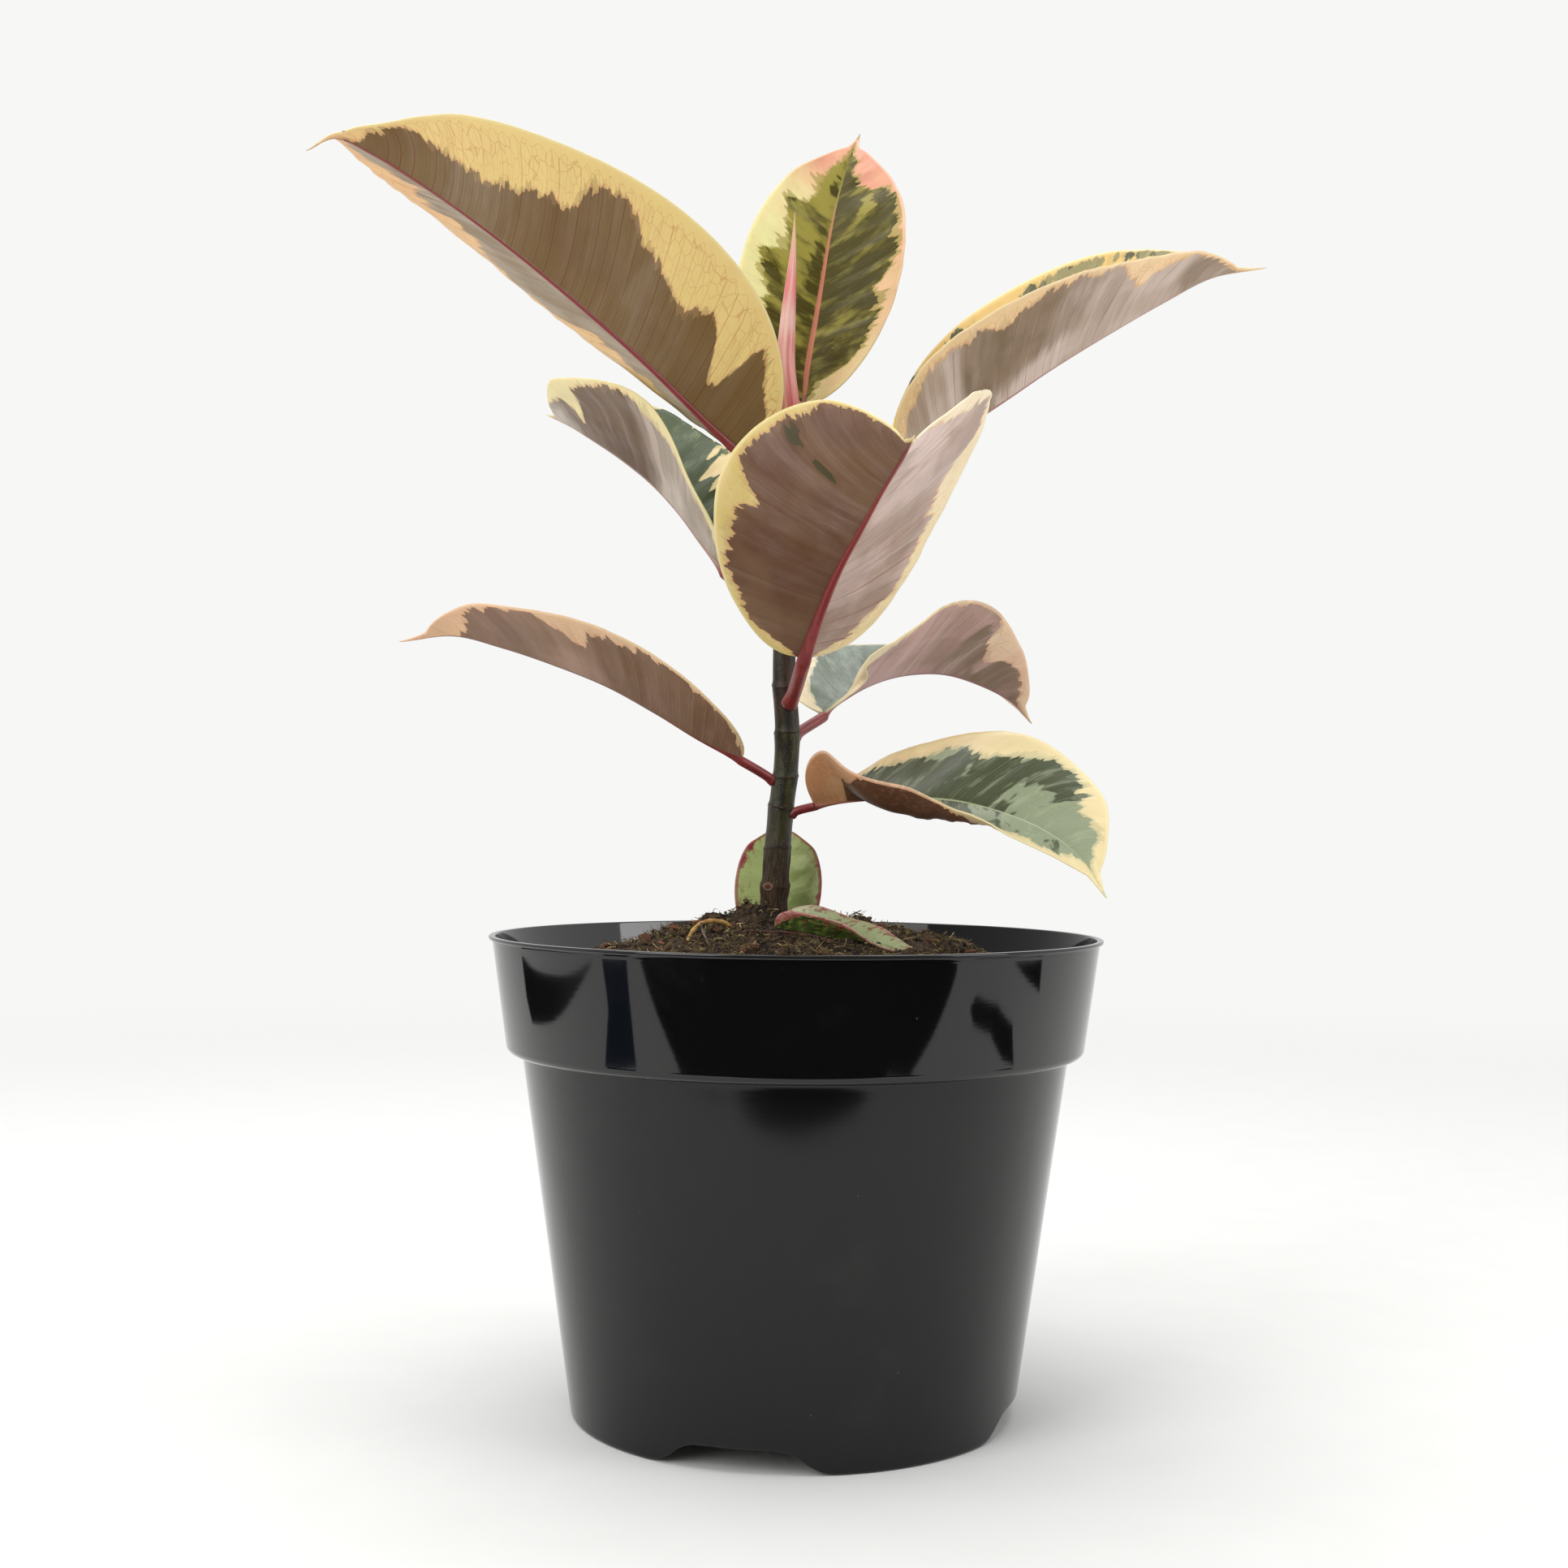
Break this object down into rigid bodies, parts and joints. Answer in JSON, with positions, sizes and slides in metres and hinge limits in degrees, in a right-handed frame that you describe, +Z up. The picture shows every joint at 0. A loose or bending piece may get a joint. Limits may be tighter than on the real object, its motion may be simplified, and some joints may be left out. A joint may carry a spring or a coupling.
{
  "type": "potted tineke rubber plant",
  "caption": "Young variegated rubber plant with broad pointed leaves on an upright stem, growing in a round tapered nursery pot with a stepped collar.",
  "frame": {"origin": "centre of the outer box in plan, at the level of the pot's feet", "axes": "+Z up along the pot and stem; -Y is the front that the picture shows, +X is to its right"},
  "size_m": [0.2444, 0.1926, 0.3593],
  "materials": {
    "pot_plastic": "glossy moulded black plastic with light dust and scratches",
    "potting_mix": "rough moist peat and bark mix",
    "stem_bark": "semi-matt olive-brown young bark",
    "leaf_sheath": "satin pink to crimson",
    "variegated_leaf": "glossy leathery leaf, green centre, cream to salmon margin, maroon-brown underside",
    "leaf_stalk": "satin crimson",
    "small_leaf": "satin light green with a thin red margin",
    "yellow_root": "semi-matt ochre",
    "dark_strand": "matt dark brown"
  },
  "bodies": {
    "root": {"pot": "pot_plastic", "soil": "potting_mix", "stem": "stem_bark", "sheath": "leaf_sheath", "leaf_1_blade": "variegated_leaf", "leaf_1_petiole": "leaf_stalk", "leaf_2_blade": "variegated_leaf", "leaf_2_petiole": "leaf_stalk", "leaf_3_blade": "variegated_leaf", "leaf_3_petiole": "leaf_stalk", "leaf_4_blade": "variegated_leaf", "leaf_4_petiole": "leaf_stalk", "leaf_5_blade": "variegated_leaf", "leaf_5_petiole": "leaf_stalk", "leaf_6_blade": "variegated_leaf", "leaf_6_petiole": "leaf_stalk", "leaf_7_blade": "variegated_leaf", "leaf_7_petiole": "leaf_stalk", "leaf_8_blade": "variegated_leaf", "leaf_8_petiole": "leaf_stalk", "base_leaf_back": "small_leaf", "base_leaf_front": "small_leaf", "surface_root": "yellow_root", "strand": "dark_strand"}
  },
  "joints": []
}
